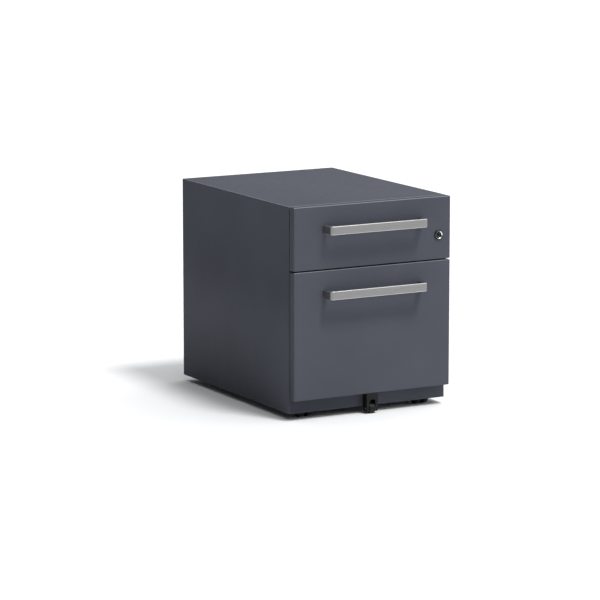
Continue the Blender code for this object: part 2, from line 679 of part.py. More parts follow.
def castor_hood(name, centre, swivel):
    """The swivelling hood: a web between the wheels, a fender over them, a bearing disc and axle."""
    wheel_y = -CASTOR_TRAIL
    wheel_z = CASTOR_WHEEL_RADIUS
    x, y = centre
    web = [(0.0065, BEARING_BOTTOM + SHEET, 0.0), (-0.0065, BEARING_BOTTOM + SHEET, 0.0),
           (wheel_y - 0.0040, 0.0422, 0.0), (wheel_y - 0.0120, 0.0300, 0.004),
           (wheel_y - 0.0060, 0.0125, 0.004), (wheel_y + 0.0060, 0.0125, 0.004), (0.0065, 0.0280, 0.004)]
    hood = outline_plate(name, rounded_outline(web), CASTOR_WEB_WIDTH, BLACK_PLASTIC,
                         (x, y, 0.0), swivel, ALONG_X)
    band = arc((wheel_y, wheel_z), FENDER_OUTER_RADIUS, FENDER_START, FENDER_END)
    band += arc((wheel_y, wheel_z), FENDER_INNER_RADIUS, FENDER_END, FENDER_START)
    fender = outline_plate(name + "_fender", band, FENDER_WIDTH, BLACK_PLASTIC, (x, y, 0.0), None, ALONG_X)
    combine(hood, fender, "UNION")
    disc = rod(name + "_disc", BEARING_RADIUS, BEARING_TOP - BEARING_BOTTOM, BLACK_PLASTIC,
               (x, y, (BEARING_TOP + BEARING_BOTTOM) / 2))
    combine(hood, disc, "UNION")
    axle = rod(name + "_axle", CASTOR_AXLE_RADIUS, FENDER_WIDTH - SHEET, BLACK_PLASTIC,
               (x, y + wheel_y, wheel_z), None, TURNED_ABOUT_X, 16)
    combine(hood, axle, "UNION")
    bore_height = BEARING_TOP - CASTOR_PIN_BOTTOM + SHEET
    bore = rod(name + "_bore", CASTOR_PIN_RADIUS + TOUCH_GAP, 2 * bore_height, BLACK_PLASTIC,
               (x, y, BEARING_TOP), None, ALONG_Z, 16)
    combine(hood, bore, "DIFFERENCE")


def make_castor(corner, x, y):
    """One swivel castor with twin wheels, under its mounting plate."""
    name = "castor_" + corner
    plate_top = BASE_BOTTOM - TOUCH_GAP
    plate_bottom = plate_top - CASTOR_PLATE_THICKNESS
    half = CASTOR_PLATE_SIZE / 2
    corners = [(x_side * half, y_side * half, CASTOR_PLATE_CORNER)
               for x_side, y_side in ((-1, -1), (1, -1), (1, 1), (-1, 1))]
    plate = outline_plate(name + "_plate", rounded_outline(corners), CASTOR_PLATE_THICKNESS, ZINC,
                          (x, y, (plate_top + plate_bottom) / 2))
    pin_top = plate_top - SHEET
    pin = rod(name + "_pin", CASTOR_PIN_RADIUS, pin_top - CASTOR_PIN_BOTTOM, ZINC,
              (x, y, (pin_top + CASTOR_PIN_BOTTOM) / 2), None, ALONG_Z, 16)
    combine(plate, pin, "UNION")

    swivel = pivot(name + "_swivel", (x, y, plate_bottom))
    castor_hood(name + "_hood", (x, y), swivel)
    for side, sign in (("left", -1), ("right", 1)):
        centre = (x + sign * CASTOR_WHEEL_OFFSET, y - CASTOR_TRAIL, CASTOR_WHEEL_RADIUS)
        wheel_pivot = pivot(name + "_" + side + "_spin", centre, swivel)
        turned(name + "_wheel_" + side, castor_wheel_profile(), WHEEL_PLASTIC, centre, wheel_pivot,
               (0.0, sign * pi / 2, 0.0))


def make_cabinet():
    """Every sub-part, each moving one under its pivot."""
    upper = pivot("upper_drawer_slide", (0.0, FRONT_FACE, UPPER_RUNNER_LEVEL))
    lower = pivot("lower_drawer_slide", (0.0, FRONT_FACE, LOWER_RUNNER_LEVEL))
    upper_middle = pivot("upper_runner_middle_slide", (0.0, RUNNER_FRONT, UPPER_RUNNER_LEVEL))
    lower_middle = pivot("lower_runner_middle_slide", (0.0, RUNNER_FRONT, LOWER_RUNNER_LEVEL))
    lock_turn = pivot("lock_turn", (LOCK_X, FRONT_FACE, LOCK_Z), upper)
    bar_slide = pivot("lock_bar_slide", (HALF_WIDTH - 0.010, CAM_PLANE, LOCK_Z))
    fifth_place = (0.0, FRONT_FACE + FIFTH_BLOCK_DEPTH / 2, FIFTH_WHEEL_RADIUS)
    fifth_spin = pivot("fifth_castor_spin", fifth_place, lower)

    make_panels()
    make_rails()
    make_uprights()
    make_runner("upper", UPPER_RUNNER_LEVEL, upper, upper_middle)
    make_runner("lower", LOWER_RUNNER_LEVEL, lower, lower_middle)

    pan, backing = make_front("upper", UPPER_FRONT_BOTTOM, HEIGHT, upper)
    make_box("upper", UPPER_BOX_BOTTOM, UPPER_BOX_TOP, upper)
    make_handle("upper", HEIGHT, upper)
    make_lock(pan, backing, upper, lock_turn)

    make_front("lower", LOWER_FRONT_BOTTOM, LOWER_FRONT_TOP, lower)
    make_box("lower", LOWER_BOX_BOTTOM, LOWER_BOX_TOP, lower)
    make_handle("lower", LOWER_FRONT_TOP, lower)
    make_file_rails(lower)
    make_fifth_castor(lower, fifth_spin)
    make_lock_bar(bar_slide, lower)

    for end, y in (("front", -CASTOR_Y), ("rear", CASTOR_Y)):
        for side, x in (("left", -CASTOR_X), ("right", CASTOR_X)):
            make_castor(end + "_" + side, x, y)


make_cabinet()
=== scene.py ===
"""The looks of the rolling pedestal cabinet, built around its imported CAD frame."""
import json
from math import cos, pi, radians, sin, tan

import bmesh
import bpy
from mathutils import Matrix, Vector


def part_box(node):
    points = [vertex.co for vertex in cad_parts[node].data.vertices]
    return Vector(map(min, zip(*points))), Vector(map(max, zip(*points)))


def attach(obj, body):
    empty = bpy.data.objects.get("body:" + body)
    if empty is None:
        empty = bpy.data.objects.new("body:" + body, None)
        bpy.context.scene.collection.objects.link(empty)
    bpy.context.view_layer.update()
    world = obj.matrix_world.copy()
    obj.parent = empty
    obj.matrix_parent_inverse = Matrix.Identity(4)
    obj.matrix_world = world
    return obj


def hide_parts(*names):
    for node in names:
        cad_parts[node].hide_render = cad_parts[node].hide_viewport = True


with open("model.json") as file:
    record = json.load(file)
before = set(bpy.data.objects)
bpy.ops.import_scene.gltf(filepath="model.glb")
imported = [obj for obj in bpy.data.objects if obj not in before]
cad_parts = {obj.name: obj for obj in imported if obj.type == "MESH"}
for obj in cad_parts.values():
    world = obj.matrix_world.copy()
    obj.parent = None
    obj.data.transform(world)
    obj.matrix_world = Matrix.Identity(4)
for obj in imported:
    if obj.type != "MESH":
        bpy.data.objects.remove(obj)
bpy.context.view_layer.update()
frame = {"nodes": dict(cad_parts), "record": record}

# Lengths are in metres, except the camera's lens and sensor, which are in millimetres.

# The sign of x on each side of the cabinet
SIDES = (("left", -1), ("right", 1))

# Camera and light
CAMERA_AIM = Vector((-0.038, 0.0167, 0.230))
CAMERA_DISTANCE = 7.714
CAMERA_AZIMUTH = radians(28.92)
CAMERA_DROP = radians(10.07)
CAMERA_LENS = 192.5
CAMERA_SENSOR = 36.0
CAMERA_CLIP = 300.0
KEY_DIRECTION = Vector((0.163, -0.419, 0.893))
KEY_STRENGTH = 1.88
KEY_ANGLE = radians(13)
SKY_AXIS = Vector((0.60, -0.08, 0.79))
SKY_BRIGHT = 1.26
SKY_DIM = 0.11
SKY_COLOUR = (0.97, 0.985, 1.0, 1.0)
FLOOR_SIZE = 120.0

# Curved stretches
ARC_STEP = radians(9)
FOLD_STEPS = 5
SMOOTH_ANGLE = radians(35)
SMALLEST_CORNER = 0.00002

# Sheet metal
SHEET = 0.001
FOLD = 0.0015
SEAM = 0.0003
EDGE_CLEARANCE = 0.0005
COVER_SKIRT = 0.0035
# The least upward tilt of a fold's face that gets the painted highlight
UPWARD = 0.3

# Back sheet: a field pressed inwards, with a row of rivets on each side
BACK_CORNER = 0.004
BACK_MARGIN = 0.016
BACK_PRESS = 0.003
BACK_EASE = 0.0008
BACK_DIP = 0.0003
RIVET_INSET = 0.014
RIVET_ROWS = 3
RIVET_START = 0.045
RIVET_PITCH = 0.195

# Plinth and uprights
PLINTH_LIP = 0.004
SLOT_ROWS = 13
SLOT_START = 0.012
SLOT_PITCH = 0.032
SLOT_HEIGHT = 0.012
SLOT_NEAR = 0.006
SLOT_FAR = 0.010
HOLE_CORNER = 0.001
HOLE_REACH = 0.004
WINDOW_CLEARANCE = 0.0035
BAR_TRAVEL = 0.00785
BAR_TAB = 0.010
BUFFER_MARGINS = {"upper": 0.012, "lower": 0.030}

# Drawer fronts and trays. FLOOR_PRESS holds (inset, height) along the pressed floor's edge.
FRONT_FOLD = 0.0020
LOCK_HOLE_REACH = 0.004
TRAY_SHEET = 0.0008
TRAY_FOLD = 0.003
TRAY_CORNER = 0.004
RIM_DEPTH = 0.006
RIM_ROLL = 0.001
FLOOR_PRESS = [(0.030, 0.0), (0.0315, 0.0004), (0.0335, 0.0011), (0.035, 0.0015)]
TRAY_SCREWS = 3
TRAY_SCREW_START = 0.060
TRAY_SCREW_PITCH = 0.185
FRONT_SCREW_X = 0.129
FRONT_SCREW_DROP = 0.0125

# File rails, runners and handles
FILE_RAIL_INSET = 0.0012
FILE_RAIL_CORNER = 0.003
FILE_RAIL_EASE = 0.0006
RUNNER_SHEET = 0.0012
RUNNER_FOLD = 0.0016
RUNNER_EASE = 0.0003
HANDLE_BAR = 0.009
HANDLE_LEG = 0.010
HANDLE_SPLAY = 0.005
HANDLE_OUTER_CORNER = 0.007
HANDLE_INNER_CORNER = 0.003
HANDLE_EASE = 0.0012

# Lock. ROSETTE_EDGE holds (inset from the radius, distance behind the rosette's face).
LOCK_BARREL = 0.0095
LOCK_STEPS = 64
BARREL_SETBACK = 0.0012
LINER_WALL = 0.0009
LINER_FLARE = 0.0020
FLARE_LIP = 0.0009
FLARE_ROOT = 0.0020
LINER_SETBACK = 0.0004
LINER_EASE = 0.0002
LINER_CONE = 0.0023
ROSETTE_SETBACK = 0.0003
ROSETTE_EASE = 0.0004
ROSETTE_EDGE = [(0.0016, 0.0), (0.0008, 0.0003), (0.0002, 0.0010), (0.0, 0.0018)]
PLUG_DIMPLE = 0.0044
PLUG_DIMPLE_EDGE = 0.0050
PLUG_DIMPLE_DEPTH = 0.0005
PLUG_CHAMFER = 0.0008
PLUG_TAIL = 0.0028
PLUG_SHOULDER = 0.0028
CUT_CLEARANCE = 0.004
KEYWAY_WIDTH = 0.0016
KEYWAY_HEIGHT = 0.0080
KEYWAY_DEPTH = 0.009
WARD_WIDTH = 0.0016
WARD_HEIGHT = 0.0012
WARD_DEPTH = 0.008

# Castors. PIN_EDGE holds (inset from the radius, distance from the pin's end).
FORK_TOE = 0.006
FORK_TOP_CORNER = 0.0015
FORK_SLOT_WIDTH = 0.016
FORK_SLOT_HEIGHT = 0.0295
FORK_SLOT_CORNER = 0.004
FORK_EASE = 0.0007
FORK_CUT_MARGIN = 0.010
PIN_EDGE = [(0.0009, 0.0001), (0.0002, 0.0005), (0.0, 0.0011)]
FIFTH_BORE_CLEARANCE = 0.0006
FIFTH_HUB = 0.0052
FIFTH_DISH = 0.0010
CASTOR_BORE = 0.0022
CASTOR_HUB = 0.0062
CASTOR_DISH = 0.0013
WHEEL_STEPS = 64
WHEEL_SHOULDER = 0.0016
WHEEL_RIM = 0.0032
WHEEL_RIM_EASE = 0.0006
GROOVE_LIP = 0.0009
GROOVE_FLOOR = 0.0005
GROOVE_DEPTH = 0.0004
HUB_FOOT = 0.0010
HUB_FOOT_DROP = 0.0004
HUB_EASE = 0.0004
HUB_SETBACK = 0.0002
HUB_EASE_DROP = 0.0006
PLATE_THICKNESS = 0.002
BOLT_INSET = 0.0045

# Fasteners. Their profiles hold (radius, height).
SCREW_PROFILE = [(0.0, 0.0020), (0.0016, 0.0019), (0.0027, 0.0015), (0.0033, 0.0009), (0.0035, 0.0002),
                 (0.0035, 0.0), (0.0, 0.0)]
RIVET_PROFILE = [(0.0, 0.0012), (0.0012, 0.0011), (0.0021, 0.0007), (0.0025, 0.0002), (0.0025, 0.0),
                 (0.0, 0.0)]
BUFFER_PROFILE = [(0.0, 0.0028), (0.0024, 0.0026), (0.0036, 0.0019), (0.0041, 0.0010), (0.0042, 0.0),
                  (0.0, 0.0)]
FASTENER_STEPS = 32
RECESS_LENGTH = 0.0040
RECESS_WIDTH = 0.0007
RECESS_DEPTH = 0.0011
RECESS_CLEARANCE = 0.001

# Rounding of the CAD nodes' own edges, by slot
NODE_EASE = {"zinc_plate": 0.0003, "black_plastic": 0.0004}
OTHER_NODE_EASE = 0.0002

# Material slots of a pressed sheet: flat faces, straight walls with painted shade, folds that face up with
# painted highlight
FLAT_SLOT = 0
PAINTED_SHADE_SLOT = 1
PAINTED_HIGHLIGHT_SLOT = 2

WHITE = (1.0, 1.0, 1.0)
UNSTRETCHED = (1.0, 1.0, 1.0)

slot_of = {part["node"]: part["material_slot"] for part in frame["record"]["subparts"]}


# ---------------------------------------------------------------- materials

def new_material(name):
    """A new node material, with its node tree and its shader."""
    material = bpy.data.materials.new(name)
    material.use_nodes = True
    tree = material.node_tree
    return material, tree, tree.nodes["Principled BSDF"]


def scaled(colour, factor):
    """A colour made darker or lighter."""
    return tuple(channel * factor for channel in colour)


def scaled_coordinates(tree, scale):
    """Object coordinates in metres, multiplied by a scale per axis."""
    coordinates = tree.nodes.new("ShaderNodeTexCoord")
    mapping = tree.nodes.new("ShaderNodeMapping")
    mapping.inputs["Scale"].default_value = scale
    tree.links.new(coordinates.outputs["Object"], mapping.inputs["Vector"])
    return mapping.outputs["Vector"]


def noise(tree, scale, detail=2.0, roughness=0.5, stretch=UNSTRETCHED):
    """A noise field, with its scale, times the stretch of each axis, in waves per metre."""
    node = tree.nodes.new("ShaderNodeTexNoise")
    node.inputs["Scale"].default_value = scale
    node.inputs["Detail"].default_value = detail
    node.inputs["Roughness"].default_value = roughness
    tree.links.new(scaled_coordinates(tree, stretch), node.inputs["Vector"])
    return node.outputs["Fac"]


def remap(tree, value, low, high, from_low=0.3, from_high=0.7):
    """Stretch a field's usual span to a new span."""
    node = tree.nodes.new("ShaderNodeMapRange")
    node.inputs["From Min"].default_value = from_low
    node.inputs["From Max"].default_value = from_high
    node.inputs["To Min"].default_value = low
    node.inputs["To Max"].default_value = high
    tree.links.new(value, node.inputs["Value"])
    return node.outputs["Result"]


def two_tone(tree, value, first, second):
    """A colour that runs between two tones with a field."""
    node = tree.nodes.new("ShaderNodeMix")
    node.data_type = "RGBA"
    node.inputs["A"].default_value = (*first, 1.0)
    node.inputs["B"].default_value = (*second, 1.0)
    tree.links.new(value, node.inputs["Factor"])
    return node.outputs["Result"]


def multiplied(tree, first, second):
    """Two colours multiplied."""
    node = tree.nodes.new("ShaderNodeMix")
    node.data_type = "RGBA"
    node.blend_type = "MULTIPLY"
    node.inputs["Factor"].default_value = 1.0
    tree.links.new(first, node.inputs["A"])
    tree.links.new(second, node.inputs["B"])
    return node.outputs["Result"]


def bump(tree, shader, layers):
    """Stack height fields, each with its strength and height in metres."""
    normal = None
    for field, strength, height in layers:
        node = tree.nodes.new("ShaderNodeBump")
        node.inputs["Strength"].default_value = strength
        node.inputs["Distance"].default_value = height
        tree.links.new(field, node.inputs["Height"])
        if normal:
            tree.links.new(normal, node.inputs["Normal"])
        normal = node.outputs["Normal"]
    tree.links.new(normal, shader.inputs["Normal"])


def powder_coat(name, colour, roughness, specular=0.12):
    """Powder-coated steel: fine orange peel, a faint larger wave, slight drift in tone and gloss."""
    material, tree, shader = new_material(name)
    drift = remap(tree, noise(tree, 7.0, detail=3.0), 0.0, 1.0)
    base = two_tone(tree, drift, scaled(colour, 0.95), scaled(colour, 1.05))
    fleck = two_tone(tree, noise(tree, 1400.0, detail=1.0), scaled(WHITE, 0.93), scaled(WHITE, 1.07))
    tree.links.new(multiplied(tree, base, fleck), shader.inputs["Base Color"])
    gloss = remap(tree, noise(tree, 60.0, detail=4.0), roughness - 0.03, roughness + 0.03)
    tree.links.new(gloss, shader.inputs["Roughness"])
    shader.inputs["Specular IOR Level"].default_value = specular
    wave = noise(tree, 95.0, detail=1.0)
    peel = noise(tree, 850.0)
    bump(tree, shader, [(wave, 0.10, 0.00006), (peel, 0.22, 0.00004)])
    return material


def brushed_nickel(name, dull, bright, roughness):
    """Satin nickel: hairline grain along X, with slightly uneven gloss."""
    material, tree, shader = new_material(name)
    grain = noise(tree, 1.0, detail=3.0, roughness=0.6, stretch=(45.0, 2600.0, 2600.0))
    streak = noise(tree, 1.0, stretch=(6.0, 420.0, 420.0))
    base = two_tone(tree, remap(tree, grain, 0.0, 1.0), dull, bright)
    tree.links.new(base, shader.inputs["Base Color"])
    tree.links.new(remap(tree, streak, roughness - 0.06, roughness + 0.06), shader.inputs["Roughness"])
    shader.inputs["Metallic"].default_value = 1.0
    bump(tree, shader, [(grain, 0.18, 0.00003)])
    return material


def zinc(name, cool, warm):
    """Zinc-plated steel: faint spangle, cool-warm drift and rubbed gloss."""
    material, tree, shader = new_material(name)
    spangle = tree.nodes.new("ShaderNodeTexVoronoi")
    spangle.inputs["Scale"].default_value = 160.0
    tree.links.new(scaled_coordinates(tree, UNSTRETCHED), spangle.inputs["Vector"])
    shade = tree.nodes.new("ShaderNodeSeparateColor")
    tree.links.new(spangle.outputs["Color"], shade.inputs["Color"])
    tree.links.new(two_tone(tree, shade.outputs["Red"], cool, warm), shader.inputs["Base Color"])
    tree.links.new(remap(tree, noise(tree, 90.0, detail=4.0), 0.30, 0.46), shader.inputs["Roughness"])
    shader.inputs["Metallic"].default_value = 1.0
    bump(tree, shader, [(noise(tree, 700.0), 0.10, 0.00003)])
    return material


def chrome(name, dull, bright):
    """Polished plating with very fine handling marks."""
    material, tree, shader = new_material(name)
    marks = noise(tree, 1.0, stretch=(900.0, 900.0, 5000.0))
    tree.links.new(two_tone(tree, noise(tree, 120.0), dull, bright), shader.inputs["Base Color"])
    tree.links.new(remap(tree, marks, 0.07, 0.15), shader.inputs["Roughness"])
    shader.inputs["Metallic"].default_value = 1.0
    bump(tree, shader, [(marks, 0.05, 0.00001)])
    return material


def black_plastic(name, colour, roughness, grain_height):
    """Moulded plastic: fine spark-eroded grain and faint scuffs."""
    material, tree, shader = new_material(name)
    scuffs = noise(tree, 1.0, detail=5.0, roughness=0.7, stretch=(180.0, 420.0, 260.0))
    scuffed = tuple(channel * 1.9 + 0.002 for channel in colour)
    base = two_tone(tree, remap(tree, scuffs, 0.0, 1.0, from_low=0.45, from_high=0.80), colour, scuffed)
    tree.links.new(base, shader.inputs["Base Color"])
    tree.links.new(remap(tree, scuffs, roughness - 0.08, roughness + 0.10), shader.inputs["Roughness"])
    shader.inputs["Specular IOR Level"].default_value = 0.25
    bump(tree, shader, [(noise(tree, 2400.0, detail=1.0), 0.35, grain_height)])
    return material


def pale_floor(name):
    """A plain, matt, pale floor."""
    material, tree, shader = new_material(name)
    base = two_tone(tree, noise(tree, 3.0), scaled(WHITE, 0.93), scaled(WHITE, 0.95))
    tree.links.new(base, shader.inputs["Base Color"])
    shader.inputs["Roughness"].default_value = 0.9
    shader.inputs["Specular IOR Level"].default_value = 0.1
    return material


LOOKS = {
    "slate_paint": powder_coat("slate_powder_coat", (0.0720, 0.0780, 0.0975), 0.42),
    "drawer_box_paint": powder_coat("drawer_box_powder_coat", (0.060, 0.065, 0.081), 0.50),
    "zinc_plate": zinc("zinc_plating", (0.40, 0.41, 0.42), (0.49, 0.49, 0.475)),
    "satin_nickel": brushed_nickel("satin_nickel_brushed", (0.252, 0.252, 0.247), (0.33, 0.33, 0.323), 0.36),
    "polished_chrome": chrome("chrome_plating", (0.80, 0.81, 0.82), (0.90, 0.90, 0.90)),
    "black_plastic": black_plastic("black_nylon", (0.0045, 0.0045, 0.005), 0.42, 0.00004),
    "wheel_plastic": black_plastic("wheel_nylon", (0.0065, 0.0065, 0.007), 0.42, 0.00005),
}
# A darker, almost sheen-less copy of the slate paint for the side skins, the plinth and the sheets' straight
# walls: painted shade.
PAINTED_SHADE_COAT = powder_coat("slate_powder_coat_painted_shade", (0.0690, 0.0742, 0.0905), 0.55, specular=0.02)
# A slightly darker, less glossy copy of the slate paint for the top cover: painted shade.
COVER_PAINTED_SHADE_COAT = powder_coat("slate_powder_coat_cover_painted_shade", (0.0700, 0.0760, 0.0945), 0.50, specular=0.06)
# A lighter, glossier copy of the slate paint for the folds that face up: painted highlight where they catch
# the key light.
PAINTED_HIGHLIGHT_COAT = powder_coat("slate_powder_coat_painted_highlight", (0.165, 0.172, 0.198), 0.34, specular=0.50)
# A near-black copy of the plug's polished chrome: painted shade and dark reflection in the lock's recess.
PLUG_PAINTED_SHADE_CHROME = chrome("chrome_plating_painted_shade", (0.022, 0.022, 0.024), (0.034, 0.034, 0.036))
# A much lighter copy of the satin nickel for the handles' rounded edges: painted highlight.
NICKEL_PAINTED_EDGE_HIGHLIGHT = brushed_nickel("satin_nickel_painted_edge_highlight", (0.62, 0.62, 0.61), (0.78, 0.78, 0.77), 0.42)


# ---------------------------------------------------------------- making pieces

def crease(mesh):
    """Shade a mesh smooth, with its sharp creases kept."""
    for polygon in mesh.polygons:
        polygon.use_smooth = True
    mesh.set_sharp_from_angle(angle=SMOOTH_ANGLE)


def finish_mesh(name, shape):
    """Turn a bmesh into a smooth-shaded object in the scene."""
    bmesh.ops.recalc_face_normals(shape, faces=shape.faces)
    mesh = bpy.data.meshes.new(name)
    shape.to_mesh(mesh)
    shape.free()
    crease(mesh)
    item = bpy.data.objects.new(name, mesh)
    bpy.context.scene.collection.objects.link(item)
    return item


def dress(piece, slot, body, replaced=(), coats=()):
    """Give a new piece its finish and its body, and hide the CAD nodes that it stands for."""
    for material in coats or [LOOKS[slot]]:
        piece.data.materials.append(material)
    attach(piece, body)
    if replaced:
        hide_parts(*replaced)


def solidify(piece, thickness, offset=-1.0):
    """Give a surface its sheet thickness, inwards from its normals or, at offset 0, to both sides."""
    modifier = piece.modifiers.new("sheet", "SOLIDIFY")
    modifier.thickness = thickness
    modifier.offset = offset
    modifier.use_even_offset = True


def soften(piece, width, segments=2, coat=-1):
    """Round a piece's sharp edges, with a material slot of their own if one is given."""
    modifier = piece.modifiers.new("rounding", "BEVEL")
    modifier.width = width
    modifier.segments = segments
    modifier.limit_method = "ANGLE"
    modifier.angle_limit = radians(30)
    modifier.material = coat


def bake(piece):
    """Replace a piece's mesh with the result of its modifiers."""
    depsgraph = bpy.context.evaluated_depsgraph_get()
    mesh = bpy.data.meshes.new_from_object(piece.evaluated_get(depsgraph))
    piece.modifiers.clear()
    piece.data = mesh
    crease(mesh)


def cut(piece, tool):
    """Cut a tool's shape out of a piece, bake the result and drop the tool."""
    modifier = piece.modifiers.new("cut", "BOOLEAN")
    modifier.operation = "DIFFERENCE"
    modifier.solver = "EXACT"
    modifier.object = tool
    bpy.context.view_layer.update()
    bake(piece)
    bpy.data.objects.remove(tool, do_unlink=True)


def block_tool(name, low, high):
    """A plain block that cuts a hole."""
    shape = bmesh.new()
    bmesh.ops.create_cube(shape, size=1.0)
    low = Vector(low)
    high = Vector(high)
    bmesh.ops.scale(shape, vec=high - low, verts=shape.verts)
    bmesh.ops.translate(shape, vec=(low + high) / 2, verts=shape.verts)
    return finish_mesh(name, shape)


def ring(shape, points):
    """A closed ring of vertices."""
    return [shape.verts.new(point) for point in points]


def bridge(shape, first, second):
    """The quads between two rings of the same length."""
    faces = []
    for index in range(len(first)):
        following = (index + 1) % len(first)
        faces.append(shape.faces.new((first[index], first[following], second[following], second[index])))
    return faces


def rounded_rectangle(half_u, half_v, radius):
    """Points of a rounded rectangle about the origin."""
    radius = max(radius, SMALLEST_CORNER)
    points = []
    for quarter, (side_u, side_v) in enumerate(((1, 1), (-1, 1), (-1, -1), (1, -1))):
        for step in range(FOLD_STEPS + 1):
            angle = quarter * pi / 2 + step / FOLD_STEPS * pi / 2
            points.append((side_u * (half_u - radius) + radius * cos(angle),
                           side_v * (half_v - radius) + radius * sin(angle)))
    return points


def faces_up(face, centre):
    """Whether a fold's face is tilted, and above its sheet's centre or at most a skirt's depth below it:
    these faces get the painted highlight.
    """
    face.normal_update()
    return abs(face.normal.z) > UPWARD and face.calc_center_median().z > centre.z - COVER_SKIRT


def pressed_sheet(name, centre, half_u, half_v, corner, stations, placing, thickness=SHEET):
    """A pressed sheet: rounded rectangles inset along a depth, closed at the last and open at the first.

    A station is (inset, depth). placing turns (u, v, depth) into a world offset. Straight walls get the
    slot of the painted shade, folds that face up the slot of the painted highlight, and the rest FLAT_SLOT.
    """
    centre = Vector(centre)
    shape = bmesh.new()
    rings = []
    for inset, depth in stations:
        outline = rounded_rectangle(half_u - inset, half_v - inset, corner - inset)
        rings.append(ring(shape, [centre + placing(u, v, depth) for u, v in outline]))
    insets = [inset for inset, depth in stations]
    for index in range(len(rings) - 1):
        straight = insets[index] == insets[index + 1]
        for face in bridge(shape, rings[index], rings[index + 1]):
            if straight:
                face.material_index = PAINTED_SHADE_SLOT
            elif faces_up(face, centre):
                face.material_index = PAINTED_HIGHLIGHT_SLOT
    shape.faces.new(rings[-1])
    piece = finish_mesh(name, shape)
    solidify(piece, thickness)
    return piece


def fold_stations(radius, start):
    """Stations from a straight wall into a flat face at depth 0: an arc of the fold's radius."""
    stations = [(0.0, start)]
    for step in range(FOLD_STEPS + 1):
        angle = step / FOLD_STEPS * pi / 2
        stations.append((radius * (1 - cos(angle)), -radius * (1 - sin(angle))))
    return stations


def strip(name, section, low, high, placing, thickness=SHEET):
    """A folded strip: an open section in (u, v), run between two depths."""
    shape = bmesh.new()
    start = [shape.verts.new(placing(u, v, low)) for u, v in section]
    end = [shape.verts.new(placing(u, v, high)) for u, v in section]
    for index in range(len(section) - 1):
        shape.faces.new((start[index], start[index + 1], end[index + 1], end[index]))
    piece = finish_mesh(name, shape)
    solidify(piece, thickness, offset=0.0)
    return piece


def lathe(name, profile, centre, axis, steps=48):
    """A turned piece: a profile of (radius, height) about an axis through the centre.

    A profile that starts off the axis is closed on itself, and one that starts on it ends there too.
    """
    shape = bmesh.new()
    turn = Vector((0, 0, 1)).rotation_difference(Vector(axis)).to_matrix()
    angles = [2 * pi * step / steps for step in range(steps)]
    rings = []
    for radius, height in profile:
        if radius == 0.0:
            points = [Vector((0, 0, height))]
        else:
            points = [Vector((radius * cos(angle), radius * sin(angle), height)) for angle in angles]
        rings.append(ring(shape, [Vector(centre) + turn @ point for point in points]))
    pairs = list(zip(rings, rings[1:]))
    if profile[0][0] > 0.0:
        pairs.append((rings[-1], rings[0]))
    for first, second in pairs:
        if len(first) == 1 or len(second) == 1:
            tip, rim = (first, second) if len(first) == 1 else (second, first)
            for index in range(steps):
                shape.faces.new((tip[0], rim[index], rim[(index + 1) % steps]))
        else:
            bridge(shape, first, second)
    return finish_mesh(name, shape)


def arc(centre, radius, start, end):
    """Points on an arc, ends included."""
    count = max(2, round(abs(end - start) / ARC_STEP))
    angles = [start + (end - start) * step / count for step in range(count + 1)]
    return [(centre[0] + radius * cos(angle), centre[1] + radius * sin(angle)) for angle in angles]


def rounded_outline(corners):
    """Points of an outline whose corners are (x, y, radius). A corner of radius 0 is one point."""
    points = []
    for index, (x, y, radius) in enumerate(corners):
        corner = Vector((x, y))
        if radius == 0.0:
            points.append(corner)
            continue
        before = (Vector(corners[index - 1][:2]) - corner).normalized()
        after = (Vector(corners[(index + 1) % len(corners)][:2]) - corner).normalized()
        half_angle = before.angle(after) / 2
        centre = corner + (before + after).normalized() * radius / sin(half_angle)
        spoke = corner + before * radius / tan(half_angle) - centre
        turn = -before.angle_signed(after)
        sweep = (pi - abs(turn)) * (-1 if turn > 0 else 1)
        steps = max(2, round(abs(sweep) / ARC_STEP))
        for step in range(steps + 1):
            points.append(centre + Matrix.Rotation(sweep * step / steps, 2) @ spoke)
    return points


def extruded(name, points, low, high, placing):
    """A flat outline in (u, v) made solid between two depths."""
    shape = bmesh.new()
    first = ring(shape, [placing(u, v, low) for u, v in points])
    second = ring(shape, [placing(u, v, high) for u, v in points])
    bridge(shape, first, second)
    shape.faces.new(first)
    shape.faces.new(second)
    return finish_mesh(name, shape)


def evenly_rounded(low_u, low_v, high_u, high_v, radius):
    """Points of an upright rectangle between two corners, with one corner radius."""
    return rounded_outline([(low_u, low_v, radius), (high_u, low_v, radius),
                            (high_u, high_v, radius), (low_u, high_v, radius)])


def channel(lip, web, bottom, top, fold):
    """Points of an open channel section, in (across, along), whose web stands between two folds."""
    return rounded_outline([(lip, bottom, 0.0), (web, bottom, fold), (web, top, fold), (lip, top, 0.0)])


def middle(node):
    """The centre of a CAD node's box."""
    low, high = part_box(node)
    return (low + high) / 2


def width_span(node):
    """How far a node's box is from the cabinet's middle plane at its inner and outer side."""
    low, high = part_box(node)
    return min(abs(low.x), abs(high.x)), max(abs(low.x), abs(high.x))


# Ways to place a flat drawing (u, v) and a depth in the world
def facing_front(u, v, depth):
    return Vector((u, -depth, v))


def facing_back(u, v, depth):
    return Vector((u, depth, v))


def facing_up(u, v, depth):
    return Vector((u, v, depth))


def facing_back_down(u, v, depth):
    return Vector((u, depth, -v))


def along_x(u, v, depth):
    return Vector((depth, u, v))


# ---------------------------------------------------------------- fasteners

def make_fastener(name, slot, profile, driven=False):
    """The mesh of a small turned head, with a cross recess where it is driven, and its slot."""
    head = lathe(name, profile, (0, 0, 0), (0, 0, 1), FASTENER_STEPS)
    if driven:
        cut_recess(head, max(height for radius, height in profile))
    mesh = head.data
    mesh.materials.append(LOOKS[slot])
    bpy.data.objects.remove(head, do_unlink=True)
    return mesh, slot


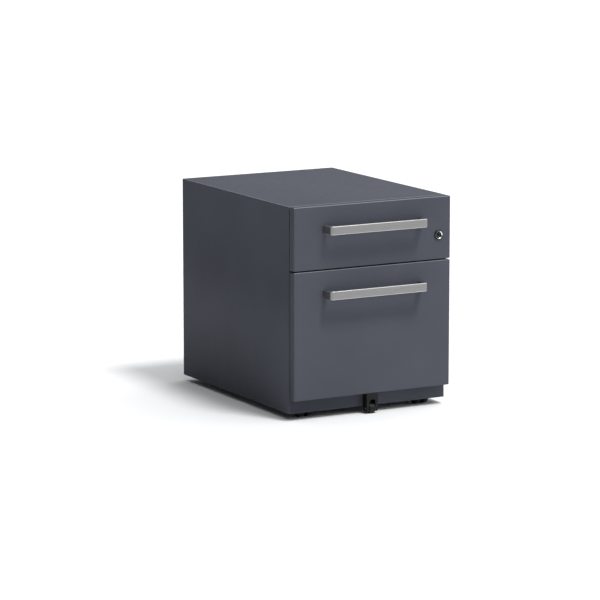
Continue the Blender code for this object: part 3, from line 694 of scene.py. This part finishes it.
def cut_recess(head, top):
    """A cross recess in a screw's head."""
    half_length = RECESS_LENGTH / 2
    half_width = RECESS_WIDTH / 2
    for turn, (half_x, half_y) in enumerate(((half_length, half_width), (half_width, half_length))):
        cut(head, block_tool("recess_%d" % turn, (-half_x, -half_y, top - RECESS_DEPTH),
                             (half_x, half_y, top + RECESS_CLEARANCE)))


def add_fastener(name, fastener, location, axis, body):
    """One more of a fastener, standing on a surface that faces the axis."""
    mesh, slot = fastener
    item = bpy.data.objects.new(name, mesh)
    item.location = location
    item.rotation_euler = Vector((0, 0, 1)).rotation_difference(Vector(axis)).to_euler()
    bpy.context.scene.collection.objects.link(item)
    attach(item, body)


SCREW = make_fastener("screw_head", "zinc_plate", SCREW_PROFILE, driven=True)
RIVET = make_fastener("rivet_head", "slate_paint", RIVET_PROFILE)
BUFFER = make_fastener("rubber_buffer", "black_plastic", BUFFER_PROFILE)


# ---------------------------------------------------------------- carcass

def make_cover():
    """The folded top cover. Returns the level where the skins below it end."""
    low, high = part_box("top_panel")
    centre = ((low.x + high.x) / 2, (low.y + high.y) / 2, high.z)
    cover = pressed_sheet("top_cover", centre, (high.x - low.x) / 2, (high.y - low.y) / 2, FOLD,
                          fold_stations(FOLD, -COVER_SKIRT), facing_up)
    # The cover takes a darker copy of the paint on top and the painted-shade coat on its skirt (painted
    # shade), and the painted highlight on its folds.
    dress(cover, "slate_paint", "carcass", ["top_panel"], [COVER_PAINTED_SHADE_COAT, PAINTED_SHADE_COAT, PAINTED_HIGHLIGHT_COAT])
    return high.z - COVER_SKIRT - SEAM


def make_side_skin(side, sign, skin_top):
    """A side skin, with its front and back edges folded inwards."""
    node = "side_panel_" + side
    low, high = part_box(node)
    outer = width_span(node)[1]
    face = outer - SHEET / 2
    curl = outer - FOLD
    front = low.y + SHEET / 2
    back = high.y - SHEET / 2
    reach = FOLD - SHEET / 2
    corners = [(curl, front, 0.0), (face, front, reach), (face, back, reach), (curl, back, 0.0)]
    section = [(sign * x, y) for x, y in rounded_outline(corners)]
    skin = strip("side_skin_" + side, section, low.z, skin_top, facing_up)
    # The side skin takes the darker, sheen-less copy of the paint: painted shade.
    dress(skin, "slate_paint", "carcass", [node], [PAINTED_SHADE_COAT])


def make_back(skin_top):
    """The back sheet with its pressed field and its rivets."""
    low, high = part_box("back_panel")
    centre = (0.0, high.y, (low.z + skin_top) / 2)
    field = BACK_MARGIN + BACK_PRESS
    stations = [(0.0, 0.0), (BACK_MARGIN, 0.0), (BACK_MARGIN + BACK_EASE, -BACK_DIP),
                (field, BACK_DIP - BACK_PRESS), (field + BACK_EASE, -BACK_PRESS)]
    back = pressed_sheet("back_sheet", centre, high.x - EDGE_CLEARANCE, (skin_top - low.z) / 2, BACK_CORNER,
                         stations, facing_back)
    dress(back, "slate_paint", "carcass", ["back_panel"])
    rivet_x = high.x - BACK_MARGIN - RIVET_INSET
    for column, x in enumerate((-rivet_x, rivet_x)):
        for row in range(RIVET_ROWS):
            place = (x, high.y - BACK_PRESS, low.z + RIVET_START + row * RIVET_PITCH)
            add_fastener("back_rivet_%d_%d" % (column, row), RIVET, place, (0, 1, 0), "carcass")


def make_plinth():
    """The plinth, folded back along its top and turned in at its bottom."""
    low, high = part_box("plinth_panel")
    face = low.y + SHEET / 2
    bottom = low.z + SHEET / 2
    top = high.z - SHEET / 2
    corners = [(face + PLINTH_LIP, bottom, 0.0), (face, bottom, FOLD), (face, top, FOLD), (high.y, top, 0.0)]
    reach = high.x - EDGE_CLEARANCE
    plinth = strip("plinth_fold", rounded_outline(corners), -reach, reach, along_x)
    # The plinth takes the darker, sheen-less copy of the paint: painted shade.
    dress(plinth, "slate_paint", "carcass", ["plinth_panel"], [PAINTED_SHADE_COAT])


def make_front_rail(node):
    """A cross rail of the carcass's front, folded back along both edges."""
    low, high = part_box(node)
    section = channel(high.y, low.y + SHEET / 2, low.z + SHEET / 2, high.z - SHEET / 2, FOLD)
    rail = strip(node + "_fold", section, low.x, high.x, along_x)
    dress(rail, "slate_paint", "carcass", [node])


def make_upright(end, side, sign):
    """A channel that carries the runners on one side: slots up its web, and buffers on a front one."""
    node = "upright_" + end + "_" + side
    low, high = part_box(node)
    inner, outer = width_span(node)
    outer -= EDGE_CLEARANCE
    section = channel(outer, inner + SHEET / 2, low.y + SHEET / 2, high.y - SHEET / 2, FOLD)
    upright = strip(node + "_fold", [(sign * x, y) for x, y in section], low.z, high.z, facing_up)
    holes = slot_holes((low.y + high.y) / 2, low.z)
    if node == "upright_front_right":
        holes += lock_windows()
    for index, (near, far, bottom, top) in enumerate(holes):
        outline = evenly_rounded(near, bottom, far, top, HOLE_CORNER)
        web = sign * inner
        cut(upright, extruded("slot_%d" % index, outline, web - HOLE_REACH, web + HOLE_REACH, along_x))
    dress(upright, "slate_paint", "carcass", [node])
    if end == "front":
        add_buffers(side, sign * (inner + outer) / 2, low.y)


def slot_holes(middle_y, bottom):
    """The punched slots of an upright, as (near, far, bottom, top)."""
    levels = [bottom + SLOT_START + row * SLOT_PITCH for row in range(SLOT_ROWS)]
    return [(middle_y + SLOT_NEAR, middle_y + SLOT_FAR, level, level + SLOT_HEIGHT) for level in levels]


def lock_windows():
    """The windows that the lock's cam and the lock bar's tab reach through, as (near, far, bottom, top)."""
    cam_low, cam_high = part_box("lock_cam")
    bar_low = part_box("lock_bar")[0].z
    near = cam_low.y - WINDOW_CLEARANCE
    far = cam_high.y + WINDOW_CLEARANCE
    return [(near, far, cam_low.z - WINDOW_CLEARANCE, cam_high.z + WINDOW_CLEARANCE),
            (near, far, bar_low - BAR_TRAVEL - WINDOW_CLEARANCE, bar_low + BAR_TAB + WINDOW_CLEARANCE)]


def add_buffers(side, x, face):
    """Rubber buffers that the closed fronts rest on."""
    for drawer, margin in BUFFER_MARGINS.items():
        low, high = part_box(drawer + "_front_panel")
        for end, z in (("low", low.z + margin), ("high", high.z - margin)):
            add_fastener("buffer_" + drawer + "_" + end + "_" + side, BUFFER, (x, face - SEAM / 3, z),
                         (0, -1, 0), "carcass")


# ---------------------------------------------------------------- drawers

def make_drawer_front(drawer):
    """The folded front pan, with a hole for the lock in the upper one."""
    node = drawer + "_front_panel"
    low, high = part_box(node)
    centre = ((low.x + high.x) / 2, low.y, (low.z + high.z) / 2)
    front = pressed_sheet(drawer + "_front_skin", centre, (high.x - low.x) / 2, (high.z - low.z) / 2,
                          FRONT_FOLD, fold_stations(FRONT_FOLD, low.y - high.y), facing_front)
    if drawer == "upper":
        place = middle("lock_body")
        place.y = low.y
        radius = LOCK_BARREL + SEAM
        hole = [(0.0, LOCK_HOLE_REACH), (radius, LOCK_HOLE_REACH), (radius, -LOCK_HOLE_REACH),
                (0.0, -LOCK_HOLE_REACH)]
        cut(front, lathe("lock_hole", hole, place, (0, -1, 0)))
    # The front's turned-back edges take the painted-shade coat, and its folds that face up the painted
    # highlight.
    dress(front, "slate_paint", drawer + "_drawer", [node], [LOOKS["slate_paint"], PAINTED_SHADE_COAT, PAINTED_HIGHLIGHT_COAT])


def make_tray(drawer):
    """The drawer's tray: rounded corners, a rolled rim and a pressed floor."""
    node = drawer + "_drawer_box"
    low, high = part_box(node)
    centre = ((low.x + high.x) / 2, (low.y + high.y) / 2, low.z)
    height = high.z - low.z
    stations = [(2 * RIM_ROLL, height - RIM_DEPTH)]
    for step in range(2 * FOLD_STEPS + 1):
        angle = step / (2 * FOLD_STEPS) * pi
        stations.append((RIM_ROLL + RIM_ROLL * cos(angle), height - RIM_ROLL + RIM_ROLL * sin(angle)))
    for step in range(FOLD_STEPS + 1):
        angle = step / FOLD_STEPS * pi / 2
        stations.append((TRAY_FOLD * (1 - cos(angle)), TRAY_FOLD * (1 - sin(angle))))
    stations += FLOOR_PRESS
    tray = pressed_sheet(drawer + "_tray", centre, (high.x - low.x) / 2, (high.y - low.y) / 2, TRAY_CORNER,
                         stations, facing_up, TRAY_SHEET)
    dress(tray, "drawer_box_paint", drawer + "_drawer", [node])


def add_tray_screws(drawer, side, sign):
    """The screws that hold one side's runner and that side of the front, seen from inside the tray."""
    body = drawer + "_drawer"
    low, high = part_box(drawer + "_drawer_box")
    level = middle(drawer + "_runner_inner_left").z
    wall = high.x - TRAY_SHEET
    for index in range(TRAY_SCREWS):
        place = (sign * wall, low.y + TRAY_SCREW_START + index * TRAY_SCREW_PITCH, level)
        add_fastener("%s_tray_screw_%s_%d" % (drawer, side, index), SCREW, place, (-sign, 0, 0), body)
    for index, z in enumerate((level, high.z - FRONT_SCREW_DROP)):
        place = (sign * FRONT_SCREW_X, low.y + TRAY_SHEET, z)
        add_fastener("%s_front_screw_%s_%d" % (drawer, side, index), SCREW, place, (0, 1, 0), body)


def make_file_rail(side):
    """A hanging-file rail with rounded corners and eased edges."""
    node = "file_rail_" + side
    low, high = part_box(node)
    outline = evenly_rounded(low.y + FILE_RAIL_INSET, low.z, high.y - FILE_RAIL_INSET, high.z,
                             FILE_RAIL_CORNER)
    rail = extruded(node + "_strip", outline, low.x, high.x, along_x)
    soften(rail, FILE_RAIL_EASE, 3)
    dress(rail, "zinc_plate", "lower_drawer", [node])


def make_runner(drawer, side, sign):
    """The three rolled members of one ball-bearing runner."""
    bodies = {"outer": "carcass", "middle": drawer + "_runner_middle", "inner": drawer + "_drawer"}
    for member, body in bodies.items():
        node = drawer + "_runner_" + member + "_" + side
        low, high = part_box(node)
        inner, outer = width_span(node)
        if member == "inner":
            lip = outer
            web = inner + RUNNER_SHEET / 2
        else:
            lip = inner
            web = outer - RUNNER_SHEET / 2
        section = channel(lip, web, low.z + RUNNER_SHEET / 2, high.z - RUNNER_SHEET / 2, RUNNER_FOLD)
        rail = strip(node + "_rolled", [(sign * x, -z) for x, z in section], low.y, high.y,
                     facing_back_down, RUNNER_SHEET)
        soften(rail, RUNNER_EASE, 1)
        dress(rail, "zinc_plate", body, [node])


def make_handle(drawer):
    """A bow handle with splayed legs, rounded corners and eased edges."""
    node = drawer + "_handle"
    low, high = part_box(node)
    foot = high.x
    front = foot - HANDLE_SPLAY
    inner_foot = foot - HANDLE_LEG
    inner_front = front - HANDLE_LEG
    inner_y = low.y + HANDLE_BAR
    corners = [(-foot, high.y, 0.0), (-front, low.y, HANDLE_OUTER_CORNER),
               (front, low.y, HANDLE_OUTER_CORNER), (foot, high.y, 0.0),
               (inner_foot, high.y, 0.0), (inner_front, inner_y, HANDLE_INNER_CORNER),
               (-inner_front, inner_y, HANDLE_INNER_CORNER), (-inner_foot, high.y, 0.0)]
    handle = extruded(drawer + "_bow_handle", rounded_outline(corners), low.z, high.z, facing_up)
    # The rounded edges take the lighter nickel copy: painted highlight.
    soften(handle, HANDLE_EASE, 3, coat=1)
    dress(handle, "satin_nickel", drawer + "_drawer", [node], [LOOKS["satin_nickel"], NICKEL_PAINTED_EDGE_HIGHLIGHT])


# ---------------------------------------------------------------- lock

def lock_place():
    """The lock's axis where it meets the upper front's face."""
    place = middle("lock_body")
    place.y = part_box("upper_front_panel")[0].y
    return place


def make_lock_body():
    """A dark rosette round a bright flared liner. Heights are in front of the upper front's face."""
    place = lock_place()
    low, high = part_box("lock_body")
    proud = place.y - low.y
    end = place.y - high.y
    radius = (high.x - low.x) / 2
    plug_low, plug_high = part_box("lock_plug")
    bore = (plug_high.x - plug_low.x) / 2 + SEAM
    liner = bore + LINER_WALL
    flare = bore + LINER_FLARE

    rosette = [(liner, end + BARREL_SETBACK), (liner, proud - FLARE_ROOT), (flare, proud - FLARE_LIP),
               (flare, proud - ROSETTE_SETBACK), (flare + ROSETTE_EASE, proud)]
    rosette += [(radius - inset, proud - drop) for inset, drop in ROSETTE_EDGE]
    rosette += [(radius, SEAM), (LOCK_BARREL, SEAM), (LOCK_BARREL, end + BARREL_SETBACK)]
    rosette_piece = lathe("lock_rosette", rosette, place, (0, -1, 0), LOCK_STEPS)
    dress(rosette_piece, "black_plastic", "upper_drawer", ["lock_body"])

    sleeve = [(bore, end), (bore, proud - LINER_CONE), (flare - LINER_EASE, proud - LINER_SETBACK),
              (flare, proud - LINER_SETBACK), (flare, proud - FLARE_LIP), (liner, proud - FLARE_ROOT),
              (liner, end)]
    liner_piece = lathe("lock_liner", sleeve, place, (0, -1, 0), LOCK_STEPS)
    dress(liner_piece, "polished_chrome", "upper_drawer", ["lock_body"])


def make_lock_plug():
    """The recessed plug, dimpled in its middle, with a keyway that has a ward on each side."""
    place = lock_place()
    face = place.y
    low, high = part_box("lock_plug")
    radius = (high.x - low.x) / 2
    front = face - low.y
    end = face - high.y
    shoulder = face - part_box("lock_body")[1].y + PLUG_SHOULDER
    dimple = front - PLUG_DIMPLE_DEPTH
    profile = [(0.0, dimple), (PLUG_DIMPLE, dimple), (PLUG_DIMPLE_EDGE, front),
               (radius - PLUG_CHAMFER, front), (radius, front - PLUG_CHAMFER), (radius, shoulder),
               (PLUG_TAIL, shoulder), (PLUG_TAIL, end), (0.0, end)]
    plug = lathe("lock_core_plug", profile, place, (0, -1, 0), LOCK_STEPS)

    near = face - CUT_CLEARANCE
    half_width = KEYWAY_WIDTH / 2
    half_height = KEYWAY_HEIGHT / 2
    cut(plug, block_tool("keyway", (place.x - half_width, near, place.z - half_height),
                         (place.x + half_width, face + KEYWAY_DEPTH, place.z + half_height)))
    for sign in (-1, 1):
        left = place.x + min(sign * WARD_WIDTH, 0.0)
        bottom = place.z - sign * WARD_HEIGHT - WARD_HEIGHT / 2
        cut(plug, block_tool("ward", (left, near, bottom),
                             (left + WARD_WIDTH, face + WARD_DEPTH, bottom + WARD_HEIGHT)))
    # The plug's polished chrome is drawn near-black: painted shade and dark reflection.
    dress(plug, "polished_chrome", "lock_core", ["lock_plug"], [PLUG_PAINTED_SHADE_CHROME])


# ---------------------------------------------------------------- castors

def make_fifth_fork():
    """The forked block under the filing drawer's front, bored for its axle."""
    low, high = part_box("fifth_castor_block")
    corners = [(low.y, low.z, FORK_TOE), (high.y, low.z, FORK_TOE), (high.y, high.z, FORK_TOP_CORNER),
               (low.y, high.z, FORK_TOP_CORNER)]
    block = extruded("fifth_fork", rounded_outline(corners), low.x, high.x, along_x)
    half = FORK_SLOT_WIDTH / 2
    bottom = low.z - FORK_CUT_MARGIN
    top = low.z + FORK_SLOT_HEIGHT
    slot = [(-half, bottom, 0.0), (half, bottom, 0.0), (half, top, FORK_SLOT_CORNER),
            (-half, top, FORK_SLOT_CORNER)]
    cut(block, extruded("fork_slot", rounded_outline(slot), low.y - FORK_CUT_MARGIN, high.y + FORK_CUT_MARGIN,
                        facing_back))
    axle_low, axle_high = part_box("fifth_castor_axle")
    radius = (axle_high.z - axle_low.z) / 2 + SEAM
    reach = (axle_high.x - axle_low.x) / 2 + FORK_CUT_MARGIN
    hole = [(0.0, reach), (radius, reach), (radius, -reach), (0.0, -reach)]
    cut(block, lathe("axle_hole", hole, middle("fifth_castor_wheel"), (1, 0, 0)))
    soften(block, FORK_EASE)
    dress(block, "black_plastic", "lower_drawer", ["fifth_castor_block"])


def make_fifth_wheel():
    """The small fixed wheel and its axle pin."""
    place = middle("fifth_castor_wheel")
    axle_low, axle_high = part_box("fifth_castor_axle")
    radius = (axle_high.z - axle_low.z) / 2
    half = (axle_high.x - axle_low.x) / 2
    pin = [(0.0, half)]
    pin += [(radius - inset, half - drop) for inset, drop in PIN_EDGE]
    pin += [(radius - inset, drop - half) for inset, drop in reversed(PIN_EDGE)]
    pin += [(0.0, -half)]
    dress(lathe("fifth_axle_pin", pin, place, (1, 0, 0)), "zinc_plate", "lower_drawer", ["fifth_castor_axle"])

    low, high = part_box("fifth_castor_wheel")
    profile = wheel_profile((high.z - low.z) / 2, (high.x - low.x) / 2, radius + FIFTH_BORE_CLEARANCE,
                            FIFTH_HUB, FIFTH_DISH)
    wheel = lathe("fifth_tread_wheel", profile, place, (1, 0, 0), WHEEL_STEPS)
    dress(wheel, "wheel_plastic", "fifth_wheel", ["fifth_castor_wheel"])


def wheel_profile(radius, half, bore, hub, dish):
    """Profile of a moulded wheel: rounded shoulders, a centre groove and a dished outer face."""
    shoulder = WHEEL_SHOULDER
    floor = radius - GROOVE_DEPTH
    rim = radius - WHEEL_RIM
    hub_face = half - HUB_SETBACK
    return [(bore, -half),
            *arc((radius - shoulder, shoulder - half), shoulder, -pi / 2, 0.0),
            (radius, -GROOVE_LIP), (floor, -GROOVE_FLOOR), (floor, GROOVE_FLOOR), (radius, GROOVE_LIP),
            *arc((radius - shoulder, half - shoulder), shoulder, 0.0, pi / 2),
            (rim, half), (rim - WHEEL_RIM_EASE, half - dish), (hub + HUB_FOOT, half - dish - HUB_FOOT_DROP),
            (hub + HUB_EASE, half - HUB_EASE_DROP), (hub - HUB_EASE, hub_face), (bore, hub_face)]


def make_castor(corner):
    """The twin wheels of one castor, and the bolts of its plate."""
    name = "castor_" + corner
    for side, sign in SIDES:
        node = name + "_wheel_" + side
        low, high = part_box(node)
        profile = wheel_profile((high.z - low.z) / 2, (high.x - low.x) / 2, CASTOR_BORE, CASTOR_HUB,
                                CASTOR_DISH)
        wheel = lathe(node + "_tread", profile, middle(node), (sign, 0, 0), WHEEL_STEPS)
        dress(wheel, "wheel_plastic", corner + "_castor_" + side + "_wheel", [node])
    low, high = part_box(name + "_plate")
    under = high.z - PLATE_THICKNESS
    for column, x in enumerate((low.x + BOLT_INSET, high.x - BOLT_INSET)):
        for row, y in enumerate((low.y + BOLT_INSET, high.y - BOLT_INSET)):
            add_fastener("%s_bolt_%d_%d" % (name, column, row), SCREW, (x, y, under), (0, 0, -1), "carcass")


# ---------------------------------------------------------------- studio

def make_floor():
    """A plain pale floor under everything."""
    shape = bmesh.new()
    bmesh.ops.create_grid(shape, x_segments=2, y_segments=2, size=FLOOR_SIZE / 2)
    floor = finish_mesh("floor", shape)
    floor.data.materials.append(pale_floor("pale_floor"))


def make_key():
    """A soft overhead key, a little to the front right."""
    key = bpy.data.lights.new("key", "SUN")
    key.energy = KEY_STRENGTH
    key.angle = KEY_ANGLE
    lamp = bpy.data.objects.new("key", key)
    lamp.rotation_euler = KEY_DIRECTION.to_track_quat("Z", "Y").to_euler()
    bpy.context.scene.collection.objects.link(lamp)


def make_sky():
    """A sky that is brightest above on the right and dim on the left."""
    world = bpy.data.worlds.new("studio")
    world.use_nodes = True
    tree = world.node_tree
    direction = tree.nodes.new("ShaderNodeTexCoord")
    towards = tree.nodes.new("ShaderNodeVectorMath")
    towards.operation = "DOT_PRODUCT"
    towards.inputs[1].default_value = SKY_AXIS
    tree.links.new(direction.outputs["Generated"], towards.inputs[0])
    level = tree.nodes.new("ShaderNodeMapRange")
    level.interpolation_type = "SMOOTHSTEP"
    level.inputs["From Min"].default_value = 0.0
    level.inputs["From Max"].default_value = 1.0
    level.inputs["To Min"].default_value = SKY_DIM
    level.inputs["To Max"].default_value = SKY_BRIGHT
    tree.links.new(towards.outputs["Value"], level.inputs["Value"])
    background = tree.nodes["Background"]
    tree.links.new(level.outputs["Result"], background.inputs["Strength"])
    background.inputs["Color"].default_value = SKY_COLOUR
    bpy.context.scene.world = world
    bpy.context.scene.view_settings.view_transform = "Standard"


def make_camera():
    """The camera, which looks from the front left and a little down."""
    camera = bpy.data.cameras.new("camera")
    camera.lens = CAMERA_LENS
    camera.sensor_width = CAMERA_SENSOR
    camera.clip_end = CAMERA_CLIP
    holder = bpy.data.objects.new("camera", camera)
    ahead = Vector((sin(CAMERA_AZIMUTH) * cos(CAMERA_DROP), cos(CAMERA_AZIMUTH) * cos(CAMERA_DROP),
                    -sin(CAMERA_DROP)))
    holder.location = CAMERA_AIM - CAMERA_DISTANCE * ahead
    holder.rotation_euler = ahead.to_track_quat("-Z", "Y").to_euler()
    bpy.context.scene.collection.objects.link(holder)
    bpy.context.scene.camera = holder


def dress_cad_nodes():
    """Give every CAD node its slot's material, and ease its edges."""
    for node, item in frame["nodes"].items():
        slot = slot_of[node]
        item.data.materials.clear()
        item.data.materials.append(LOOKS[slot])
        soften(item, NODE_EASE.get(slot, OTHER_NODE_EASE))


make_camera()
make_key()
make_sky()
make_floor()
dress_cad_nodes()

top_of_skins = make_cover()
for side_name, side_sign in SIDES:
    make_side_skin(side_name, side_sign, top_of_skins)
make_back(top_of_skins)
make_plinth()
for rail_node in ("top_front_rail", "mid_front_rail"):
    make_front_rail(rail_node)
for end_name in ("front", "rear"):
    for side_name, side_sign in SIDES:
        make_upright(end_name, side_name, side_sign)

for drawer_name in ("upper", "lower"):
    make_drawer_front(drawer_name)
    make_tray(drawer_name)
    for side_name, side_sign in SIDES:
        add_tray_screws(drawer_name, side_name, side_sign)
    make_handle(drawer_name)
    for side_name, side_sign in SIDES:
        make_runner(drawer_name, side_name, side_sign)
make_lock_body()
make_lock_plug()

make_fifth_fork()
make_fifth_wheel()
for side_name, side_sign in SIDES:
    make_file_rail(side_name)
    for end_name in ("front", "rear"):
        make_castor(end_name + "_" + side_name)

bpy.context.view_layer.update()
